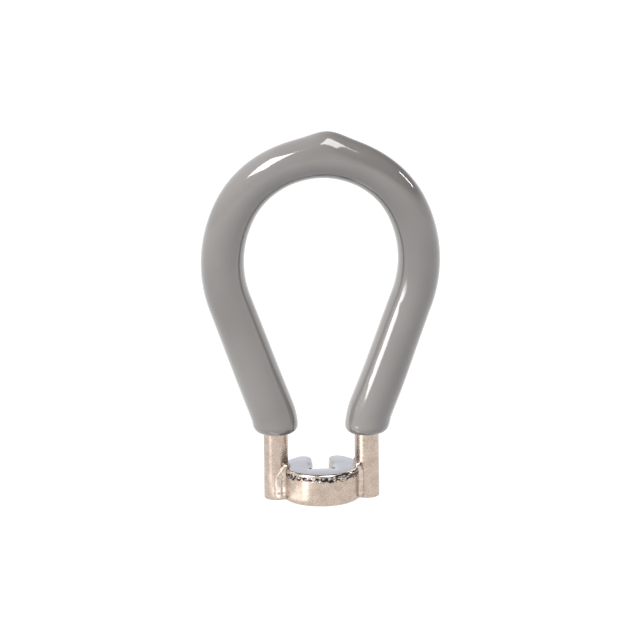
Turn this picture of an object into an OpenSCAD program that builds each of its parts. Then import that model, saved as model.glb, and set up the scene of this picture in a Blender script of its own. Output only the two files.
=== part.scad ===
// Spoke wrench with a loop handle.
// One steel rod is bent into a loop and its two ends stand as parallel posts. A slotted round
// head is brazed between the posts, and the loop is dipped in vinyl.
// The origin is on the socket's axis at the head's lower face. Z runs up along the posts, X runs
// across the loop, and the slot opens toward +Y.

/* [Rod] */
// diameter of the steel rod
rod_d = 4; // [3.4:0.1:4.6]
// distance between the two posts, centre to centre
post_spacing = 15; // [14:0.1:16.4]
// height at which the post's line meets the leg's line
knee_h = 13.7; // [12.5:0.1:20]
// radius of the bend there, on the rod's centreline
knee_r = 8; // [6:0.5:11]
// chamfer round the foot of each post
post_chamfer = 0.3; // [0.1:0.05:0.6]

/* [Loop] */
// angle that each leg splays from the post
leg_angle = 19.5; // [15:0.5:25]
// radius of the loop's sides, on the rod's centreline
side_r = 21.5; // [18:0.5:26]
// radius of the loop's crown, on the rod's centreline
crown_r = 15.4; // [13.5:0.1:17]
// angle above the crown's centre at which the side hands over to the crown
haunch_angle = 26; // [15:1:40]
// angle that the loop leans away from the slot, so that a seated spoke passes behind it
loop_lean = 8.5; // [3:0.5:10]

/* [Grip] */
// diameter of the vinyl sleeve round the loop
grip_loop_d = 6.8; // [5.6:0.1:7.4]
// diameter of the sleeve at the knee, where the vinyl is thicker
grip_knee_d = 7.3; // [6:0.1:7.6]
// length of sleeve on the post below the knee's bend
grip_tail = 1.3; // [0.9:0.1:1.5]
// rounding of the sleeve's lower lip
grip_lip_r = 0.8; // [0.4:0.05:0.9]
// clearance between the sleeve and the rod
grip_fit = 0.02; // [0.01:0.01:0.1]
// height that the drip at the crown stands proud of the sleeve
drip_h = 0.95; // [0.4:0.05:1.1]
// length of the drip along the crown
drip_length = 10.6; // [9.6:0.2:13]
// angle of the drip from the crown's middle, toward +X
drip_angle = 3; // [-10:1:10]

/* [Head] */
// diameter of the round head
head_d = 12.8; // [12.2:0.1:13.6]
// height of the head
head_h = 5.4; // [4:0.1:6]
// chamfer round the head's outer edges
head_chamfer = 0.4; // [0.2:0.05:0.6]
// width across flats of the spoke nipple
nipple_flats = 3.45; // [3.2:0.01:4]
// clearance between the socket and each flat
socket_fit = 0.05; // [0.02:0.01:0.1]
// radius of the relief in the socket's front corners
corner_relief_r = 0.4; // [0.2:0.05:0.5]
// width of the slot that lets the spoke in
slot_w = 2.8; // [2.4:0.05:3]
// length over which the socket's sides draw in to the slot
shoulder_run = 1.2; // [0.5:0.1:1.8]
// lead-in chamfer at both ends of the socket
lead_in = 0.3; // [0.1:0.05:0.4]
// rounding of the two horns at the slot's mouth
horn_r = 1.4; // [0.5:0.05:1.6]

/* [Braze] */
// thickness of the braze metal between post and saddle
braze_film = 0.15; // [0.1:0.01:0.25]
// clearance left on each side of the braze metal
braze_fit = 0.01; // [0.005:0.005:0.03]
// radius of the hollow fillet in each corner
braze_fillet_r = 1; // [0.8:0.1:2]
// height that the braze metal climbs the post above the head
braze_climb = 0.5; // [0.1:0.05:0.8]

/* [Hidden] */
$fn = 72;

// how far a cut runs past the face that it opens
overrun = 0.5;
// how far a straight runs on inside the bend that it meets
joint_lap = 0.25;
// how much fuller the rod and the sleeve are in a bend than on a straight
bend_swell = 0.01;
// number of sides drawn on the thin braze metal
braze_sides = 360;
// angle at which a rounding or a fillet meets its wall
blend_angle = 15;
// the drip's thickness as a share of the sleeve's
drip_thickness_share = 0.92;

rod_r = rod_d / 2;
grip_loop_r = grip_loop_d / 2;
grip_knee_r = grip_knee_d / 2;
bore_r = rod_r + grip_fit;
head_r = head_d / 2;
post_x = post_spacing / 2;
saddle_r = rod_r + braze_film;

// The leg leaves the knee splayed and leaning, so the bend is one arc in an upright plane that
// is turned about the post.
knee_angle = acos(cos(leg_angle) * cos(loop_lean));
knee_heading = atan2(-cos(leg_angle) * sin(loop_lean), sin(leg_angle));
knee_tangent = knee_r * tan(knee_angle / 2);
knee_foot_h = knee_h - knee_tangent;

// The loop's outline in its own plane, measured from the level of the knees.
haunch_x = (side_r - crown_r) * cos(haunch_angle);
haunch_z = (side_r - crown_r) * sin(haunch_angle);
leg_top_x = side_r * cos(leg_angle) - haunch_x;
leg_length = (leg_top_x - post_x) / sin(leg_angle);
side_z = side_r * sin(leg_angle) + leg_length * cos(leg_angle);
crown_z = side_z + haunch_z;
crown_lap_angle = arc_angle(joint_lap, crown_r);

// The drip is a tighter arc of sleeve that rises out of the crown and sinks back into it.
crown_outer_r = crown_r + grip_loop_r;
drip_half_angle = arc_angle(drip_length / 2, crown_outer_r);
drip_rise = crown_outer_r * (1 - cos(drip_half_angle)) + drip_h;
drip_half_chord = crown_outer_r * sin(drip_half_angle);
drip_outer_r = (drip_half_chord ^ 2 + drip_rise ^ 2) / (2 * drip_rise);
drip_thickness_r = grip_loop_r * drip_thickness_share;
drip_r = drip_outer_r - drip_thickness_r;
drip_z = crown_outer_r + drip_h - drip_outer_r;
drip_cross_z = (crown_r ^ 2 - drip_r ^ 2 + drip_z ^ 2) / (2 * drip_z);
drip_sweep = acos((drip_cross_z - drip_z) / drip_r);

socket_half = nipple_flats / 2 + socket_fit;
slot_half = slot_w / 2;

// Side of a triangle from its other two sides and the angle between those.
function third_side(a, b, angle) = sqrt(a ^ 2 + b ^ 2 - 2 * a * b * cos(angle));

// The rounding of a horn cuts the slot's wall and the head's rim at the blend angle.
horn_reach = third_side(head_r, horn_r, blend_angle);
horn_x = slot_half + horn_r * cos(blend_angle);
horn_y = sqrt(horn_reach ^ 2 - horn_x ^ 2);
horn_start_y = horn_y + horn_r * sin(blend_angle);
horn_end_x = head_r * horn_x / horn_reach;

// The hollow fillet's centre stands off the head and off the post so that it meets both walls
// at the blend angle.
braze_head_r = head_r + braze_fit;
braze_post_r = rod_r + braze_fit;
fillet_from_head = third_side(braze_head_r, braze_fillet_r, 180 - blend_angle);
fillet_from_post = third_side(braze_post_r, braze_fillet_r, 180 - blend_angle);
fillet_x = (fillet_from_head ^ 2 - fillet_from_post ^ 2 + post_x ^ 2) / (2 * post_x);
fillet_y = sqrt(fillet_from_head ^ 2 - fillet_x ^ 2);
braze_h = head_h + braze_climb;

// Angle that a length takes up on an arc.
function arc_angle(length, r) = length / r * 180 / PI;

// Round bar bent to radius r, standing in the XZ plane round the origin, between two angles
// that are measured from +X toward +Z.
module bent_bar(r, bar_r, from, to) {
    rotate([90, 0, 0])
        rotate([0, 0, from])
            rotate_extrude(angle = to - from)
                translate([r, 0])
                    circle(bar_r);
}

// Knee and leg on the +X side, thick at the knee and tapering to the loop.
module leg_run(knee_bar_r, loop_bar_r) {
    translate([post_x, 0, knee_h])
        rotate([0, 0, knee_heading]) {
            translate([knee_r, 0, -knee_tangent])
                bent_bar(knee_r, knee_bar_r + bend_swell, 180 - knee_angle, 180);
            rotate([0, knee_angle, 0])
                translate([0, 0, knee_tangent - joint_lap])
                    cylinder(h = leg_length - knee_tangent + 2 * joint_lap,
                             r1 = knee_bar_r, r2 = loop_bar_r);
        }
}

// Places its children in the leaning plane of the loop, at the crown's centre.
module at_crown() {
    translate([0, 0, knee_h])
        rotate([loop_lean, 0, 0])
            translate([0, 0, crown_z])
                children();
}

// The whole bend from knee to knee.
module loop_run(knee_bar_r, loop_bar_r) {
    at_crown()
        bent_bar(crown_r, loop_bar_r, haunch_angle - crown_lap_angle,
                 180 - haunch_angle + crown_lap_angle);
    for (side = [0, 1])
        mirror([side, 0, 0]) {
            leg_run(knee_bar_r, loop_bar_r);
            at_crown()
                translate([-haunch_x, 0, -haunch_z])
                    bent_bar(side_r, loop_bar_r + bend_swell, -leg_angle, haunch_angle);
        }
}

module both_posts() {
    for (side = [-1, 1])
        translate([side * post_x, 0, 0])
            children();
}

// One rod: post, knee, leg, loop, leg, knee and post.
module handle_rod() {
    color("Gainsboro") {
        loop_run(rod_r, rod_r);
        both_posts()
            rotate_extrude()
                polygon([[0, 0], [rod_r - post_chamfer, 0], [rod_r, post_chamfer],
                         [rod_r, knee_foot_h + joint_lap], [0, knee_foot_h + joint_lap]]);
    }
}

// Outline of the socket and its slot, seen from above.
module socket_outline() {
    polygon([[-socket_half, -socket_half], [socket_half, -socket_half],
             [socket_half, socket_half - shoulder_run], [slot_half, socket_half],
             [slot_half, head_r + overrun], [-slot_half, head_r + overrun],
             [-slot_half, socket_half], [-socket_half, socket_half - shoulder_run]]);
    for (side = [-1, 1])
        translate([side * socket_half, -socket_half])
            circle(corner_relief_r);
}

// What is cut away to round one horn at the slot's mouth, on the +X side.
module horn_cut() {
    difference() {
        translate([0, horn_start_y])
            square([horn_end_x, head_r + overrun - horn_start_y]);
        translate([horn_x, horn_y])
            circle(horn_r);
    }
}

module lead_in_cone() {
    translate([0, 0, -overrun])
        cylinder(h = lead_in + 2 * overrun, r1 = socket_half + lead_in + overrun,
                 r2 = socket_half - overrun);
}

// Slotted round head with a four-sided nipple socket and a saddle for each post.
module wrench_head() {
    color("Silver")
        difference() {
            rotate_extrude()
                polygon([[0, 0], [head_r - head_chamfer, 0], [head_r, head_chamfer],
                         [head_r, head_h - head_chamfer], [head_r - head_chamfer, head_h],
                         [0, head_h]]);
            translate([0, 0, -overrun])
                linear_extrude(head_h + 2 * overrun) {
                    socket_outline();
                    for (side = [0, 1])
                        mirror([side, 0])
                            horn_cut();
                }
            lead_in_cone();
            translate([0, 0, head_h])
                mirror([0, 0, 1])
                    lead_in_cone();
            both_posts()
                translate([0, 0, -overrun])
                    cylinder(h = head_h + 2 * overrun, r = saddle_r);
        }
}

// Braze metal of the +X post seen from above: the film in the saddle and a hollow fillet in
// front of it and behind it.
module braze_outline() {
    difference() {
        union() {
            polygon([[0, 0], [fillet_x, -fillet_y], [post_x, 0], [fillet_x, fillet_y]]);
            intersection() {
                circle(braze_head_r);
                translate([post_x, 0])
                    circle(saddle_r);
            }
        }
        difference() {
            circle(braze_head_r);
            translate([post_x, 0])
                circle(saddle_r - braze_fit);
        }
        translate([post_x, 0])
            circle(braze_post_r);
        for (side = [-1, 1])
            translate([fillet_x, side * fillet_y])
                circle(braze_fillet_r);
    }
}

// The metal climbs the post a little above the head and slopes down away from it.
module braze($fn = braze_sides) {
    color("Goldenrod")
        intersection() {
            translate([0, 0, head_chamfer])
                linear_extrude(braze_h - head_chamfer)
                    braze_outline();
            translate([post_x, 0, 0])
                cylinder(h = braze_h, r1 = rod_r + braze_h, r2 = rod_r);
        }
}

module braze_right() {
    braze();
}

module braze_left() {
    mirror([1, 0, 0])
        braze();
}

// Straight tail of the sleeve on a post, with its rounded lower lip.
module grip_tail_sleeve() {
    translate([0, 0, knee_foot_h - grip_tail])
        rotate_extrude() {
            translate([0, grip_lip_r])
                square([grip_knee_r, grip_tail - grip_lip_r + joint_lap]);
            square([grip_knee_r - grip_lip_r, grip_lip_r]);
            translate([grip_knee_r - grip_lip_r, grip_lip_r])
                circle(grip_lip_r);
        }
}

// The drip that set at the crown as the dipped loop hung to dry.
module drip() {
    at_crown()
        rotate([0, drip_angle, 0])
            translate([0, 0, drip_z])
                bent_bar(drip_r, drip_thickness_r, 90 - drip_sweep, 90 + drip_sweep);
}

// Dipped sleeve over the loop, open at both posts.
module vinyl_grip() {
    color("Gray")
        difference() {
            union() {
                loop_run(grip_knee_r, grip_loop_r);
                both_posts()
                    grip_tail_sleeve();
                drip();
            }
            loop_run(bore_r, bore_r);
            both_posts()
                cylinder(h = knee_foot_h + joint_lap, r = bore_r);
        }
}

handle_rod();
wrench_head();
braze_left();
braze_right();
vinyl_grip();
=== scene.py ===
from math import acos, atan2, cos, exp, pi, radians, sin, sqrt, tan

import bmesh
import bpy
from mathutils import Matrix, Vector, noise


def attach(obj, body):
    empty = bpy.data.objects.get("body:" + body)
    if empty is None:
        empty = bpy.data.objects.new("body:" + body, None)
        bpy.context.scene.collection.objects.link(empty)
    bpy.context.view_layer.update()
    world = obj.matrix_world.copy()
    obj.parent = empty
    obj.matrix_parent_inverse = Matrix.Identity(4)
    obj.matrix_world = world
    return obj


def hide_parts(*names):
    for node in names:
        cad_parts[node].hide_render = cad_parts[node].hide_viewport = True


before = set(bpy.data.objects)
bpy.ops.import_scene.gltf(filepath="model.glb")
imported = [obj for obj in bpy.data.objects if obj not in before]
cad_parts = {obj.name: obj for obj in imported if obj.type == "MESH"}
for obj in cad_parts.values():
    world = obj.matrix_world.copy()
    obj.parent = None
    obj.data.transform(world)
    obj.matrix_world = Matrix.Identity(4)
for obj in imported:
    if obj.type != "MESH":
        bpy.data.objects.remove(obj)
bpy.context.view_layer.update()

# Lengths are in millimetres while a piece is shaped, and finish_piece brings it to metres.
MM = 0.001
TINY = 0.001

# Rod and loop
ROD_R = 2.0
ROD_SIDES = 48
ROD_STEP = 0.9
POST_X = 7.5
POST_ROUNDING = 0.22
POST_ROUNDING_STEPS = 5
KNEE_H = 13.7
KNEE_R = 8.0
LEG_ANGLE = radians(19.5)
SIDE_R = 21.5
CROWN_R = 15.4
HAUNCH_ANGLE = radians(26)
LOOP_LEAN = radians(8.5)

# Dipped sleeve: thickest at the knees, thinner on the right limb, with a lower lip on the right
SLEEVE_KNEE_R = 3.76
SLEEVE_CROWN_R = 3.335
SLEEVE_SIDES = 96
SLEEVE_STEP = 0.35
LIMB_BIAS = 0.035
LIMB_X = 10.0
BORE_R = 2.02
BORE_DEPTH = 0.8
TAIL_RIGHT = 1.38
TAIL_LEFT = 1.05
LIP_W = 1.45
LIP_H = 1.6
POOL_LEFT = 0.12
POOL_RIGHT = 0.3
POOL_START = 3.0
POOL_END = 26.0
POOL_FADE = 18.0

# Drip on the crown: a narrow peak on a broad base, both a little right of the middle
DRIP_H = 0.82
DRIP_ANGLE = radians(3.3)
DRIP_SPREAD = radians(6.3)
DRIP_BASE_H = 0.34
DRIP_BASE_ANGLE = radians(6.5)
DRIP_BASE_SPREAD = radians(12.5)
DRIP_ROUND = 1.5

# Head
HEAD_R = 6.4
HEAD_H = 5.4
SOCKET_HALF = 1.775
SOCKET_REACH = 3.2
RELIEF_R = 0.4
SLOT_HALF = 1.4
SLOT_SHOULDER = 1.2
HORN_R = 1.4
SADDLE_R = 2.15
RIM_ROUNDING = 0.45
RIM_ROUNDING_STEPS = 6
DISH_W = 0.9
DISH_H = 0.16
DISH_CUTS = 4
RELIEF_TURN = radians(270)
FRONT_STEPS = 84
SADDLE_STEPS = 24
BACK_STEPS = 46
HORN_STEPS = 20
RELIEF_STEPS = 20

# How far a face's normal points up, on the head's side, flat ends and rolled rim
UPRIGHT = 0.1
FLAT = 0.95
RISING = 0.05

# Torn band under the head's upper rim: its lower edge is ragged, and it dies out at the back
BAND_H = 1.05
BAND_END = 4.4
BAND_FADE = 2.4
BAND_ROWS = 15
BAND_ROUGH = 0.13
BAND_LEAD = 0.3
BAND_SOFT = 0.4
BAND_MEAN = 0.75
BAND_RAGGED = 0.6
RAGGED_PER_MM = 1.3
TEAR_PER_MM = 1.7
FINE_TEAR_PER_MM = 4.0
FINE_TEAR_SHARE = 0.6
TEAR_FLATNESS = 1.5
WALL_SKIN = 0.05
WALL_SLACK = 0.1
TORN_SLACK = 0.2

# Braze: a full bead with a slanting shoulder at the left post, a flush one at the right. The seed
# and row say where the drops' unevenness is read from the noise.
SEAM_R = 0.85
SEAM_X = 6.18
SEAM_Y = 1.43
SEAM_FOOT = 1.0
SEAM_RISE = 0.2
DROP_STEP = 0.24
DROP_DETAIL = 3
DROP_SEED = 3.1
DROP_ROW = 0.4
DROP_WOBBLE = 0.08
DROP_WOBBLE_PER_MM = 1.1
BEAD_R = 1.0
BEAD_X = 7.16
BEAD_Y = 1.38
BEAD_FOOT = 1.05
BEAD_TOP = 3.7
SHOULDER_R = 0.62
SHOULDER = Vector((5.98, -1.62, 5.62))
COLLAR_R = 0.5
COLLAR_SINK = 0.16
COLLAR_DROPS = 17
COLLAR_WOBBLE = 0.1
COLLAR_WOBBLE_PER_MM = 1.7
MELT = 0.06
MELT_ROUNDS = 8
MELT_SHARE = 0.6

# Material slots of the head, after its satin side
FACED = 1
ROLLED = 2
TORN = 3

UP = Vector((0, 0, 1))
RIGHT = Vector((1, 0, 0))
LOOP_UP = Vector((0, -sin(LOOP_LEAN), cos(LOOP_LEAN)))
LOOP_AXIS = Vector((0, -cos(LOOP_LEAN), -sin(LOOP_LEAN)))
LEG_UP = sin(LEG_ANGLE) * RIGHT + cos(LEG_ANGLE) * LOOP_UP
KNEE_ANGLE = acos(LEG_UP.z)
KNEE_TANGENT = KNEE_R * tan(KNEE_ANGLE / 2)
KNEE_FOOT = KNEE_H - KNEE_TANGENT
HAUNCH = (SIDE_R - CROWN_R) * (cos(HAUNCH_ANGLE) * RIGHT + sin(HAUNCH_ANGLE) * LOOP_UP)
LEG_LENGTH = (SIDE_R * cos(LEG_ANGLE) - HAUNCH.x - POST_X) / sin(LEG_ANGLE)
SIDE_RISE = SIDE_R * sin(LEG_ANGLE) + LEG_LENGTH * cos(LEG_ANGLE)
CROWN = KNEE_H * UP + (SIDE_RISE + (SIDE_R - CROWN_R) * sin(HAUNCH_ANGLE)) * LOOP_UP


# Materials

def linear(code):
    """sRGB hex colour as linear RGBA."""
    parts = [int(code[i:i + 2], 16) / 255 for i in (1, 3, 5)]
    return tuple(c / 12.92 if c <= 0.04045 else ((c + 0.055) / 1.055) ** 2.4 for c in parts) + (1.0,)


def per(size):
    """Texture scale at which one feature is that many millimetres across."""
    return 1 / (size * MM)


def put(tree, kind, settings=None, links=None):
    """Adds a node, sets its sockets and properties and links its inputs."""
    made = tree.nodes.new(kind)
    for name, value in (settings or {}).items():
        if name == "ramp":
            for stop, (place, code) in zip(made.color_ramp.elements, value):
                stop.position = place
                stop.color = linear(code)
        elif isinstance(name, int) or name in made.inputs:
            made.inputs[name].default_value = value
        else:
            setattr(made, name, value)
    for name, socket in (links or {}).items():
        tree.links.new(socket, made.inputs[name])
    return made


def new_material(name):
    """An empty material and its node tree."""
    made = bpy.data.materials.new(name)
    made.use_nodes = True
    made.node_tree.nodes.clear()
    return made, made.node_tree


def close_material(tree, shader):
    """Joins a shader to a new output."""
    put(tree, "ShaderNodeOutputMaterial", {}, {"Surface": shader.outputs[0]})


def dipped_vinyl():
    # Soft PVC dipped hot: a wet-looking skin with slow waves where it ran, in one even grey.
    made, tree = new_material("dipped_grey_vinyl")
    place = put(tree, "ShaderNodeTexCoord").outputs["Object"]
    cloud = put(tree, "ShaderNodeTexNoise", {"Scale": per(14), "Detail": 2.0}, {"Vector": place})
    colour = put(tree, "ShaderNodeValToRGB", {"ramp": [(0.3, "#7B7773"), (0.7, "#84807C")]},
                 {"Fac": cloud.outputs["Fac"]})
    smear = put(tree, "ShaderNodeTexNoise", {"Scale": per(3), "Detail": 3.0}, {"Vector": place})
    gloss = put(tree, "ShaderNodeMapRange", {"To Min": 0.07, "To Max": 0.13},
                {"Value": smear.outputs["Fac"]})
    wave = put(tree, "ShaderNodeTexNoise", {"Scale": per(6), "Detail": 1.0}, {"Vector": place})
    runs = put(tree, "ShaderNodeBump", {"Strength": 1.0, "Distance": 0.06 * MM},
               {"Height": wave.outputs["Fac"]})
    skin = put(tree, "ShaderNodeBsdfPrincipled",
               {"IOR": 1.53, "Coat Weight": 1.0, "Coat IOR": 1.55, "Coat Roughness": 0.05},
               {"Base Color": colour.outputs["Color"], "Roughness": gloss.outputs["Result"],
                "Normal": runs.outputs["Normal"], "Coat Normal": runs.outputs["Normal"]})
    close_material(tree, skin)
    return made


def satin_nickel():
    # Nickel plated over ground steel: fine lines run round the posts and the head, so a lamp
    # shows as a streak along them, on a warm and softly blurred sheen. The real lines are finer
    # than a pixel and are drawn coarser to show.
    made, tree = new_material("satin_nickel_plating")
    place = put(tree, "ShaderNodeTexCoord").outputs["Object"]
    cloud = put(tree, "ShaderNodeTexNoise", {"Scale": per(1.2), "Detail": 4.0}, {"Vector": place})
    grain = put(tree, "ShaderNodeTexNoise", {"Scale": per(0.2), "Detail": 2.0}, {"Vector": place})
    tint = put(tree, "ShaderNodeMix", {"Factor": 0.55},
               {"A": cloud.outputs["Fac"], "B": grain.outputs["Fac"]})
    colour = put(tree, "ShaderNodeValToRGB", {"ramp": [(0.36, "#AE9D90"), (0.64, "#CBBBAE")]},
                 {"Fac": tint.outputs["Result"]})
    level = put(tree, "ShaderNodeMapping", {"Scale": (per(1.6), per(1.6), per(0.09))},
                {"Vector": place})
    lines = put(tree, "ShaderNodeTexNoise", {"Scale": 1.0, "Detail": 2.0},
                {"Vector": level.outputs["Vector"]})
    gloss = put(tree, "ShaderNodeMapRange", {"To Min": 0.18, "To Max": 0.34},
                {"Value": grain.outputs["Fac"]})
    ground = put(tree, "ShaderNodeBump", {"Strength": 1.0, "Distance": 0.016 * MM},
                 {"Height": lines.outputs["Fac"]})
    pits = put(tree, "ShaderNodeBump", {"Strength": 0.6, "Distance": 0.012 * MM},
               {"Height": grain.outputs["Fac"], "Normal": ground.outputs["Normal"]})
    skin = put(tree, "ShaderNodeBsdfPrincipled", {"Metallic": 1.0},
               {"Base Color": colour.outputs["Color"], "Roughness": gloss.outputs["Result"],
                "Normal": pits.outputs["Normal"]})
    close_material(tree, skin)
    return made


def faced_nickel():
    # The head's flat ends were ground before plating and are flatter. Their cooler and a little
    # brighter colour is a painted reflection of the cool light from above and behind.
    made, tree = new_material("ground_nickel_painted_reflection")
    place = put(tree, "ShaderNodeTexCoord").outputs["Object"]
    cloud = put(tree, "ShaderNodeTexNoise", {"Scale": per(2.5), "Detail": 3.0}, {"Vector": place})
    colour = put(tree, "ShaderNodeValToRGB", {"ramp": [(0.3, "#CECDD3"), (0.7, "#D8D7DD")]},
                 {"Fac": cloud.outputs["Fac"]})
    gloss = put(tree, "ShaderNodeMapRange", {"To Min": 0.14, "To Max": 0.26},
                {"Value": cloud.outputs["Fac"]})
    skin = put(tree, "ShaderNodeBsdfPrincipled", {"Metallic": 1.0},
               {"Base Color": colour.outputs["Color"], "Roughness": gloss.outputs["Result"]})
    close_material(tree, skin)
    return made


def run_nickel(name, smoothest, roughest):
    # Nickel over metal that flowed, with no lines from grinding. The rolled rim is smooth and shows
    # sharp lights; the braze metal set with a fine grain and shows soft ones.
    made, tree = new_material(name)
    place = put(tree, "ShaderNodeTexCoord").outputs["Object"]
    cloud = put(tree, "ShaderNodeTexNoise", {"Scale": per(0.5), "Detail": 3.0}, {"Vector": place})
    colour = put(tree, "ShaderNodeValToRGB", {"ramp": [(0.35, "#B4A598"), (0.65, "#D2C5BA")]},
                 {"Fac": cloud.outputs["Fac"]})
    gloss = put(tree, "ShaderNodeMapRange", {"To Min": smoothest, "To Max": roughest},
                {"Value": cloud.outputs["Fac"]})
    skin = put(tree, "ShaderNodeBsdfPrincipled", {"Metallic": 1.0},
               {"Base Color": colour.outputs["Color"], "Roughness": gloss.outputs["Result"]})
    close_material(tree, skin)
    return made


def torn_nickel():
    # Nickel over an edge that the lathe tore. Its colour follows the tears' height: painted
    # highlights make the crests bright, and painted shade makes the pits dull brown.
    made, tree = new_material("torn_nickel_painted_shade_and_highlight")
    place = put(tree, "ShaderNodeTexCoord").outputs["Object"]
    tear_height = put(tree, "ShaderNodeTexNoise", {"Scale": per(0.5), "Detail": 3.0}, {"Vector": place})
    colour = put(tree, "ShaderNodeValToRGB", {"ramp": [(0.47, "#2E2722"), (0.64, "#CFC6BE")]},
                 {"Fac": tear_height.outputs["Fac"]})
    gloss = put(tree, "ShaderNodeMapRange", {"To Min": 0.34, "To Max": 0.12},
                {"Value": tear_height.outputs["Fac"]})
    tears = put(tree, "ShaderNodeBump", {"Strength": 1.0, "Distance": 0.1 * MM},
                {"Height": tear_height.outputs["Fac"]})
    skin = put(tree, "ShaderNodeBsdfPrincipled", {"Metallic": 1.0},
               {"Base Color": colour.outputs["Color"], "Roughness": gloss.outputs["Result"],
                "Normal": tears.outputs["Normal"]})
    close_material(tree, skin)
    return made


# Pieces

def verts_of(geom):
    return [v for v in geom if isinstance(v, bmesh.types.BMVert)]


def finish_piece(bm, name, node, materials):
    """Merges doubles, turns normals out, goes to metres and stands in for a node of the frame."""
    bmesh.ops.remove_doubles(bm, verts=bm.verts, dist=TINY)
    bmesh.ops.recalc_face_normals(bm, faces=bm.faces)
    bmesh.ops.scale(bm, vec=(MM, MM, MM), verts=bm.verts)
    mesh = bpy.data.meshes.new(name)
    bm.to_mesh(mesh)
    bm.free()
    for material in materials:
        mesh.materials.append(material)
    piece = bpy.data.objects.new(name, mesh)
    bpy.context.scene.collection.objects.link(piece)
    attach(piece, "root")
    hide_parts(node)
    return piece


def ring_edges(ring):
    """Edges that join the vertices of one ring."""
    members = set(ring)
    return list({e for v in ring for e in v.link_edges if e.other_vert(v) in members})


def carry(bm, ring, count, centre=(0, 0, 0), axis=(0, 0, 1), angle=0.0, step=(0, 0, 0)):
    """Draws a ring on, straight or round a bend, and returns every ring on the way."""
    geom = ring + ring_edges(ring)
    rings = []
    for _ in range(count):
        geom = bmesh.ops.spin(bm, geom=geom, cent=centre, axis=axis, dvec=Vector(step) / count,
                              angle=angle / count, steps=1)["geom_last"]
        rings.append(verts_of(geom))
    return rings


def middle(ring):
    return sum((v.co for v in ring), Vector()) / len(ring)


def mirrored(v):
    return Vector((-v.x, v.y, v.z))


def draw_loop(bm, radius, right_foot, left_foot, sides, fineness):
    """Draws a round bar from the right post's foot round the loop to the left post's foot."""
    ring = bmesh.ops.create_circle(bm, segments=sides, radius=radius,
                                   matrix=Matrix.Translation((POST_X, 0, right_foot)))["verts"]
    rings = [ring]
    toward = Vector((LEG_UP.x, LEG_UP.y, 0)).normalized()
    knee_centre = Vector((POST_X, 0, KNEE_FOOT)) + KNEE_R * toward
    knee_axis = UP.cross(toward)
    leg = (LEG_LENGTH - KNEE_TANGENT) * LEG_UP
    side_centre = CROWN - HAUNCH
    side_angle = LEG_ANGLE + HAUNCH_ANGLE
    crown_angle = pi - 2 * HAUNCH_ANGLE
    right_tail = KNEE_FOOT - right_foot
    left_tail = KNEE_FOOT - left_foot
    moves = [
        dict(step=right_tail * UP, length=right_tail),
        dict(centre=knee_centre, axis=knee_axis, angle=KNEE_ANGLE, length=KNEE_R * KNEE_ANGLE),
        dict(step=leg, length=leg.length),
        dict(centre=side_centre, axis=LOOP_AXIS, angle=side_angle, length=SIDE_R * side_angle),
        dict(centre=CROWN, axis=LOOP_AXIS, angle=crown_angle, length=CROWN_R * crown_angle),
        dict(centre=mirrored(side_centre), axis=LOOP_AXIS, angle=side_angle,
             length=SIDE_R * side_angle),
        dict(step=-mirrored(leg), length=leg.length),
        dict(centre=mirrored(knee_centre), axis=mirrored(knee_axis), angle=KNEE_ANGLE,
             length=KNEE_R * KNEE_ANGLE),
        dict(step=-left_tail * UP, length=left_tail),
    ]
    for move in moves:
        count = max(2, round(move.pop("length") / fineness))
        rings += carry(bm, rings[-1], count, **move)
    return rings


def distances(rings):
    """Distance of every ring from the nearer end of the bar."""
    run = [0.0]
    for a, b in zip(rings, rings[1:]):
        run.append(run[-1] + (middle(b) - middle(a)).length)
    return [min(d, run[-1] - d) for d in run]


def swell(bm, ring, radius):
    """Scales a ring about its own middle to a radius."""
    centre = middle(ring)
    share = radius / (ring[0].co - centre).length
    bmesh.ops.scale(bm, vec=(share,) * 3, verts=ring, space=Matrix.Translation(-centre))


def clamp(value, low, high):
    return max(low, min(high, value))


def ease(share):
    share = clamp(share, 0.0, 1.0)
    return share * share * (3 - 2 * share)


def bent_rod(material):
    bm = bmesh.new()
    rings = draw_loop(bm, ROD_R, 0, 0, ROD_SIDES, ROD_STEP)
    for end in (rings[0], rings[-1]):
        cap = bmesh.ops.contextual_create(bm, geom=ring_edges(end))
        rim = [e for f in cap["faces"] for e in f.edges]
        bmesh.ops.bevel(bm, geom=rim, offset=POST_ROUNDING, offset_type="OFFSET",
                        segments=POST_ROUNDING_STEPS, profile=0.5, affect="EDGES", material=-1)
    for face in bm.faces:
        face.smooth = len(face.verts) == 4
    return finish_piece(bm, "bent_rod", "handle_rod", [material])


def sleeve_radius(distance, half_length):
    """Outer radius of the sleeve at a distance up from its lower lip."""
    climb = min(1.0, distance / LIP_H)
    lip = LIP_W * (sqrt(1 - (1 - climb) ** 2) - 1)
    return SLEEVE_KNEE_R + lip + (SLEEVE_CROWN_R - SLEEVE_KNEE_R) * distance / half_length


def bell(turn, spread):
    return exp(-0.5 * (turn / spread) ** 2)


def drip_height(turn):
    """How far the set drip stands off the sleeve, at an angle from the crown's middle."""
    return (DRIP_H * bell(turn - DRIP_ANGLE, DRIP_SPREAD)
            + DRIP_BASE_H * bell(turn - DRIP_BASE_ANGLE, DRIP_BASE_SPREAD))


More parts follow.
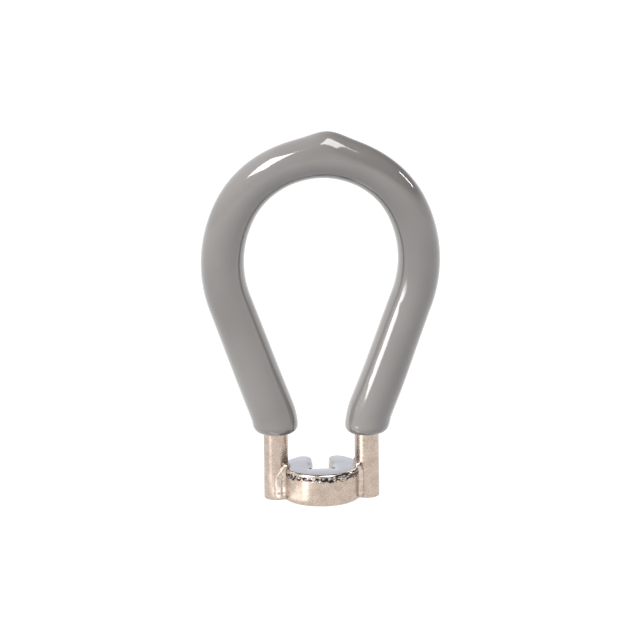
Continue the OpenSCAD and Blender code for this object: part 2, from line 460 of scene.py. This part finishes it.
def vinyl_sleeve(material):
    bm = bmesh.new()
    rings = draw_loop(bm, SLEEVE_CROWN_R, KNEE_FOOT - TAIL_RIGHT, KNEE_FOOT - TAIL_LEFT,
                      SLEEVE_SIDES, SLEEVE_STEP)
    runs = distances(rings)
    for ring, distance in zip(rings, runs):
        hand = clamp(middle(ring).x / LIMB_X, -1, 1)
        swell(bm, ring, sleeve_radius(distance, max(runs)) - LIMB_BIAS * hand)
        pool = POOL_RIGHT if hand > 0 else POOL_LEFT
        pool *= ease(distance / POOL_START) * ease((POOL_END - distance) / POOL_FADE)
        bmesh.ops.translate(bm, verts=ring, vec=pool * hand * RIGHT)
    for end in (rings[0], rings[-1]):
        lip = carry(bm, end, 1)[-1]
        swell(bm, lip, BORE_R)
        carry(bm, lip, 2, step=BORE_DEPTH * UP)
    for v in bm.verts:
        out = v.co - CROWN
        rise = out.dot(LOOP_UP)
        reach = sqrt(rise ** 2 + out.x ** 2)
        if rise > 0 and reach > CROWN_R:
            facing = min(1.0, (reach - CROWN_R) / SLEEVE_CROWN_R)
            away = (out.x * RIGHT + rise * LOOP_UP) / reach
            v.co += drip_height(atan2(out.x, rise)) * facing ** DRIP_ROUND * away
    for face in bm.faces:
        face.smooth = True
    return finish_piece(bm, "vinyl_sleeve", "vinyl_grip", [material])


def draw_line(bm, v, to):
    made = verts_of(bmesh.ops.extrude_vert_indiv(bm, verts=[v])["verts"])
    made[0].co = Vector(to)
    return made[0]


def draw_arc(bm, v, centre, angle, steps):
    return verts_of(bmesh.ops.spin(bm, geom=[v], cent=centre, axis=(0, 0, 1), angle=angle,
                                   steps=steps)["geom_last"])[0]


def cut(bm, faces, spot, across):
    """Scores a line where a plane crosses some faces."""
    geom = set(faces) | {e for f in faces for e in f.edges} | {v for f in faces for v in f.verts}
    bmesh.ops.bisect_plane(bm, geom=list(geom), dist=TINY, plane_co=spot, plane_no=across)


def head_outline(bm):
    """Right half of the head seen from above, from the front middle round to the socket."""
    saddle_x = (HEAD_R ** 2 - SADDLE_R ** 2 + POST_X ** 2) / (2 * POST_X)
    saddle_y = sqrt(HEAD_R ** 2 - saddle_x ** 2)
    saddle_turn = atan2(saddle_y, saddle_x)
    saddle_half = atan2(saddle_y, POST_X - saddle_x)
    horn_x = SLOT_HALF + HORN_R
    horn_y = sqrt((HEAD_R - HORN_R) ** 2 - horn_x ** 2)
    horn_turn = atan2(horn_y, horn_x)
    v = bm.verts.new((0, -HEAD_R, 0))
    v = draw_arc(bm, v, (0, 0, 0), pi / 2 - saddle_turn, FRONT_STEPS)
    v = draw_arc(bm, v, (POST_X, 0, 0), -2 * saddle_half, SADDLE_STEPS)
    v = draw_arc(bm, v, (0, 0, 0), horn_turn - saddle_turn, BACK_STEPS)
    v = draw_arc(bm, v, (horn_x, horn_y, 0), pi - horn_turn, HORN_STEPS)
    v = draw_line(bm, v, (SLOT_HALF, SOCKET_HALF, 0))
    v = draw_line(bm, v, (SOCKET_HALF, SOCKET_HALF - SLOT_SHOULDER, 0))
    v = draw_line(bm, v, (SOCKET_HALF, RELIEF_R - SOCKET_HALF, 0))
    v = draw_arc(bm, v, (SOCKET_HALF, -SOCKET_HALF, 0), -RELIEF_TURN, RELIEF_STEPS)
    draw_line(bm, v, (0, -SOCKET_HALF, 0))


def on_rim(edge):
    """Tells the round edges of the head's ends from those in the saddles and the socket."""
    a, b = (v.co for v in edge.verts)
    spot = (a + b) / 2
    in_saddle = Vector((abs(spot.x) - POST_X, spot.y)).length < SADDLE_R + TINY
    in_socket = spot.xy.length < SOCKET_REACH and spot.y < SOCKET_HALF
    return abs(a.z - b.z) < TINY and not in_saddle and not in_socket


def dish(bm):
    """Sinks the head's upper end round the front and sides of the socket."""
    lines = [SOCKET_HALF + DISH_W * k / DISH_CUTS for k in range(DISH_CUTS + 1)]
    back = [SOCKET_HALF * (1 - k / DISH_CUTS) for k in range(DISH_CUTS + 1)]
    planes = [(RIGHT, line) for line in lines] + [(RIGHT, -line) for line in lines]
    planes += [(Vector((0, 1, 0)), -line) for line in lines]
    planes += [(Vector((0, 1, 0)), line) for line in back]
    for across, line in planes:
        top = [f for f in bm.faces if all(v.co.z > HEAD_H - TINY for v in f.verts)]
        cut(bm, top, line * across + HEAD_H * UP, across)
    for v in bm.verts:
        if v.co.z > HEAD_H - TINY:
            away = max(0.0, abs(v.co.x) - SOCKET_HALF, -v.co.y - SOCKET_HALF)
            fade = ease((SOCKET_HALF - v.co.y) / SOCKET_HALF)
            v.co.z -= DISH_H * ease(1 - away / DISH_W) * fade


def band_share(spot):
    """How much of the torn band's height is left at a spot: it dies out towards the horns."""
    return ease((BAND_END - spot.y) / BAND_FADE)


def tear(bm):
    """Roughens the head's side just under the upper rim."""
    band_top = HEAD_H - RIM_ROUNDING
    for row in range(1, BAND_ROWS + 1):
        wall = [f for f in bm.faces if len(f.verts) == 4 and abs(f.normal.z) < UPRIGHT
                and f.calc_center_median().xy.length > HEAD_R - WALL_SLACK]
        cut(bm, wall, (band_top - BAND_H * row / BAND_ROWS) * UP, UP)
    for v in bm.verts:
        depth = (band_top - v.co.z) / BAND_H
        if v.co.xy.length > HEAD_R - WALL_SKIN and -BAND_LEAD < depth < 1:
            flat = Vector((v.co.x, v.co.y, TEAR_FLATNESS * v.co.z))
            ridge = noise.noise(TEAR_PER_MM * flat)
            ridge += FINE_TEAR_SHARE * noise.noise(FINE_TEAR_PER_MM * flat)
            fade = ease(depth / BAND_SOFT + 0.5) * ease((1 - depth) / BAND_SOFT) * band_share(v.co)
            v.co += BAND_ROUGH * ridge * fade * Vector((v.co.x, v.co.y, 0)).normalized()


def slotted_head(side, faced, rolled, torn):
    bm = bmesh.new()
    head_outline(bm)
    bmesh.ops.mirror(bm, geom=bm.verts[:] + bm.edges[:], axis="X", merge_dist=TINY)
    base = bmesh.ops.contextual_create(bm, geom=bm.edges[:])["faces"]
    top = bmesh.ops.extrude_face_region(bm, geom=base)["geom"]
    bmesh.ops.translate(bm, verts=verts_of(top), vec=HEAD_H * UP)
    bmesh.ops.bevel(bm, geom=[e for e in bm.edges if on_rim(e)], offset=RIM_ROUNDING,
                    offset_type="OFFSET", segments=RIM_ROUNDING_STEPS, profile=0.5, affect="EDGES",
                    material=-1)
    dish(bm)
    tear(bm)
    band_top = HEAD_H - RIM_ROUNDING
    for face in bm.faces:
        face.smooth = True
        spot = face.calc_center_bounds()
        depth = (band_top - spot.z) / BAND_H
        ragged = (BAND_MEAN + BAND_RAGGED * noise.noise(spot * RAGGED_PER_MM)) * band_share(spot)
        # The flat ends take the ground nickel, whose cooler, brighter colour is a painted reflection.
        if spot.z > HEAD_H - DISH_H - TINY and face.normal.z > FLAT or spot.z < TINY:
            face.material_index = FACED
        elif spot.z > band_top and face.normal.z > RISING:
            face.material_index = ROLLED
        # The torn band takes the torn nickel, with painted shade in its pits and painted highlights
        # on its crests.
        elif spot.xy.length > HEAD_R - TORN_SLACK and -WALL_SKIN < depth < ragged:
            face.material_index = TORN
    for edge in bm.edges:
        ends = [f.material_index == FACED for f in edge.link_faces]
        edge.smooth = all(ends) or not any(ends)
    return finish_piece(bm, "slotted_head", "wrench_head", [side, faced, rolled, torn])


def drops(bm, foot, top, foot_r, top_r, seed):
    """A run of braze metal: overlapping drops of uneven size from one spot to another."""
    count = max(2, round((top - foot).length / DROP_STEP))
    for k in range(count + 1):
        share = k / count
        spot = foot.lerp(top, share)
        wobble = 1 + DROP_WOBBLE * noise.noise(Vector((seed, DROP_ROW, DROP_WOBBLE_PER_MM * spot.z)))
        radius = (foot_r + (top_r - foot_r) * share) * wobble
        bmesh.ops.create_icosphere(bm, subdivisions=DROP_DETAIL, radius=radius,
                                   matrix=Matrix.Translation(spot))


def braze_bead(hand, material):
    """Braze metal round one post: a run down the corner before and behind it, and a collar."""
    bm = bmesh.new()
    seed = DROP_SEED * hand
    seam_top = Vector((SEAM_X, -SEAM_Y, HEAD_H - SEAM_R + SEAM_RISE))
    drops(bm, Vector((SEAM_X, -SEAM_Y, SEAM_FOOT)), seam_top, SEAM_R, SEAM_R, seed)
    if hand < 0:
        bead_top = Vector((BEAD_X, -BEAD_Y, BEAD_TOP))
        drops(bm, Vector((BEAD_X, -BEAD_Y, BEAD_FOOT)), bead_top, BEAD_R, BEAD_R, seed)
        drops(bm, bead_top, SHOULDER, BEAD_R, SHOULDER_R, seed)
    else:
        drops(bm, seam_top, SHOULDER, SEAM_R, SHOULDER_R, seed)
    both = bmesh.ops.duplicate(bm, geom=bm.verts[:] + bm.edges[:] + bm.faces[:])["geom"]
    bmesh.ops.scale(bm, vec=(1, -1, 1), verts=verts_of(both))
    half = atan2(SEAM_Y, POST_X - SEAM_X)
    for k in range(COLLAR_DROPS):
        turn = pi + half * (2 * k / (COLLAR_DROPS - 1) - 1)
        spot = Vector((POST_X + ROD_R * cos(turn), ROD_R * sin(turn), HEAD_H - COLLAR_SINK))
        wide = COLLAR_R * (1 + COLLAR_WOBBLE * noise.noise(COLLAR_WOBBLE_PER_MM * hand * spot))
        bmesh.ops.create_icosphere(bm, subdivisions=DROP_DETAIL, radius=wide,
                                   matrix=Matrix.Translation(spot))
    bmesh.ops.scale(bm, vec=(hand, 1, 1), verts=bm.verts)
    for face in bm.faces:
        face.smooth = True
    name = "braze_bead_right" if hand > 0 else "braze_bead_left"
    node = "braze_right" if hand > 0 else "braze_left"
    piece = finish_piece(bm, name, node, [material])
    melt = piece.modifiers.new("melt", "REMESH")
    melt.mode = "VOXEL"
    melt.voxel_size = MELT * MM
    melt.use_smooth_shade = True
    run = piece.modifiers.new("run", "SMOOTH")
    run.factor = MELT_SHARE
    run.iterations = MELT_ROUNDS
    return piece


# Camera, light and floor

AIM = Vector((0, 0, 0.0301))
FRAME_PX = 640
PX_PER_MM = 6.1
CAMERA_REACH = 0.9
AZIMUTH = radians(-3.1)
ELEVATION = radians(15.0)
ROLL = radians(-0.6)
SENSOR = 36.0
CLIP_NEAR = 0.01
CLIP_FAR = 50
GRID = radians(40)
DARK_SIDE = (0.78, -0.1, 0.68)
HORIZON_FADE = 0.34
FLOOR_HALF = 5.0
FLOOR_DROP = 0.02 * MM


def turned(side, back, spot):
    """Matrix of a camera or lamp at a spot, with its local X along side and its back along back."""
    back = back.normalized()
    side = (side - side.dot(back) * back).normalized()
    return Matrix.Translation(spot) @ Matrix((side, back.cross(side), back)).transposed().to_4x4()


def set_camera():
    lens = bpy.data.cameras.new("camera")
    lens.sensor_width = SENSOR
    lens.lens = SENSOR * PX_PER_MM / MM * CAMERA_REACH / FRAME_PX
    lens.clip_start = CLIP_NEAR
    lens.clip_end = CLIP_FAR
    back = Vector((sin(AZIMUTH) * cos(ELEVATION), -cos(AZIMUTH) * cos(ELEVATION), sin(ELEVATION)))
    level = Vector((cos(AZIMUTH), sin(AZIMUTH), 0))
    side = cos(ROLL) * level + sin(ROLL) * back.cross(level)
    camera = bpy.data.objects.new("camera", lens)
    camera.matrix_world = turned(side, back, AIM + CAMERA_REACH * back)
    bpy.context.scene.collection.objects.link(camera)
    bpy.context.scene.camera = camera


def softbox(name, spot, along, size, glow, facing=None, beam=pi):
    """Soft flat lamp at a spot, with a grid that keeps its light to a beam if one is given.

    Glow is how many times brighter than white its face is, seen from straight ahead.
    """
    lamp = bpy.data.lights.new(name, "AREA")
    lamp.shape = "RECTANGLE"
    lamp.size = size[0]
    lamp.size_y = size[1]
    lamp.spread = beam
    # A lamp without a grid glows with a quarter of its power per area, and a grid gathers more ahead.
    gain = 1 if beam == pi else tan(beam / 2) / (tan(beam / 2) - beam / 2)
    lamp.energy = 4 * glow * size[0] * size[1] / gain
    holder = bpy.data.objects.new(name, lamp)
    spot = Vector(spot)
    back = -Vector(facing) if facing else spot - AIM
    holder.matrix_world = turned(Vector(along), back, spot)
    holder.visible_camera = False
    bpy.context.scene.collection.objects.link(holder)


def set_light():
    # The large boxes are far off. The small cards stand close to the tool, and make the streaks on
    # the right leg and the posts. The studio is dark on the right and fades to white at the horizon.
    softbox("key_softbox", spot=(-0.837, -0.716, 1.05), along=(0.629, -0.778, 0), size=(0.70, 0.69),
            glow=7.6)
    softbox("top_softbox", spot=(0.314, -0.795, 1.263), along=(0.444, 0.8, 0.403), size=(0.84, 0.84),
            glow=4.7)
    softbox("left_card", spot=(-0.0450, -0.0323, 0.0188), along=(0.196, -0.385, 0.902),
            size=(0.0150, 0.0255), glow=12.0, facing=(0.891, 0.454, 0), beam=GRID)
    softbox("left_post_card", spot=(-0.0166, -0.0070, 0.0052), along=(0.547, -0.837, 0),
            size=(0.005, 0.010), glow=1.5, facing=(0.83, 0.55, 0.09), beam=GRID)
    softbox("right_post_card", spot=(-0.0045, -0.0088, 0.0052), along=(0.547, -0.837, 0),
            size=(0.005, 0.010), glow=4.2, facing=(0.83, 0.55, 0.09), beam=GRID)
    softbox("floor_card", spot=(-0.0096, -0.0064, 0.00015), along=(0.85, 0.47, 0),
            size=(0.008, 0.005), glow=0.8, facing=(0, 0, 1))
    softbox("right_strip", spot=(0.532, 0.12, 0.281), along=(0, 0, 1), size=(0.13, 0.05), glow=9.0)
    world = bpy.data.worlds.new("studio")
    bpy.context.scene.world = world
    world.use_nodes = True
    tree = world.node_tree
    tree.nodes.clear()
    heading = put(tree, "ShaderNodeTexCoord").outputs["Generated"]
    dark = put(tree, "ShaderNodeVectorMath", {"operation": "DOT_PRODUCT", 1: DARK_SIDE}, {0: heading})
    parts = put(tree, "ShaderNodeSeparateXYZ", {}, {"Vector": heading})
    lift = put(tree, "ShaderNodeMapRange",
               {"interpolation_type": "SMOOTHSTEP", "From Max": HORIZON_FADE},
               {"Value": parts.outputs["Z"]})
    shade = put(tree, "ShaderNodeMath", {"operation": "MULTIPLY"},
                {0: dark.outputs["Value"], 1: lift.outputs["Result"]})
    sky = put(tree, "ShaderNodeValToRGB", {"ramp": [(0.0, "#FAFBFF"), (0.75, "#3E3E40")]},
              {"Fac": shade.outputs[0]})
    glow = put(tree, "ShaderNodeBackground", {"Strength": 1.0}, {"Color": sky.outputs["Color"]})
    put(tree, "ShaderNodeOutputWorld", {}, {"Surface": glow.outputs["Background"]})


def lay_floor():
    # Matt white card: it shows white to the eye and keeps the soft shadow under the tool.
    made, tree = new_material("matt_white_card")
    card = put(tree, "ShaderNodeBsdfDiffuse", {"Color": linear("#949494")})
    lift = put(tree, "ShaderNodeEmission", {"Color": linear("#FFFFFF"), "Strength": 0.79})
    seen = put(tree, "ShaderNodeAddShader", {}, {0: card.outputs[0], 1: lift.outputs[0]})
    path = put(tree, "ShaderNodeLightPath")
    eye = put(tree, "ShaderNodeMath", {"operation": "ADD"},
              {0: path.outputs["Is Camera Ray"], 1: path.outputs["Is Glossy Ray"]})
    any_eye = put(tree, "ShaderNodeMath", {"operation": "ADD", "use_clamp": True},
                  {0: eye.outputs[0], 1: path.outputs["Is Transmission Ray"]})
    show = put(tree, "ShaderNodeMixShader", {},
               {0: any_eye.outputs[0], 1: card.outputs[0], 2: seen.outputs[0]})
    close_material(tree, show)
    bm = bmesh.new()
    bmesh.ops.create_grid(bm, x_segments=1, y_segments=1, size=FLOOR_HALF)
    bmesh.ops.translate(bm, verts=bm.verts, vec=(0, 0, -FLOOR_DROP))
    mesh = bpy.data.meshes.new("floor")
    bm.to_mesh(mesh)
    bm.free()
    mesh.materials.append(made)
    floor = bpy.data.objects.new("floor", mesh)
    bpy.context.scene.collection.objects.link(floor)


bpy.context.scene.view_settings.view_transform = "Standard"
set_camera()
set_light()
lay_floor()

vinyl = dipped_vinyl()
satin = satin_nickel()
faced = faced_nickel()
rolled = run_nickel("rolled_nickel_plating", 0.08, 0.18)
brazed = run_nickel("nickel_plated_braze", 0.18, 0.34)
torn = torn_nickel()

bent_rod(satin)
vinyl_sleeve(vinyl)
slotted_head(satin, faced, rolled, torn)
braze_bead(1, brazed)
braze_bead(-1, brazed)
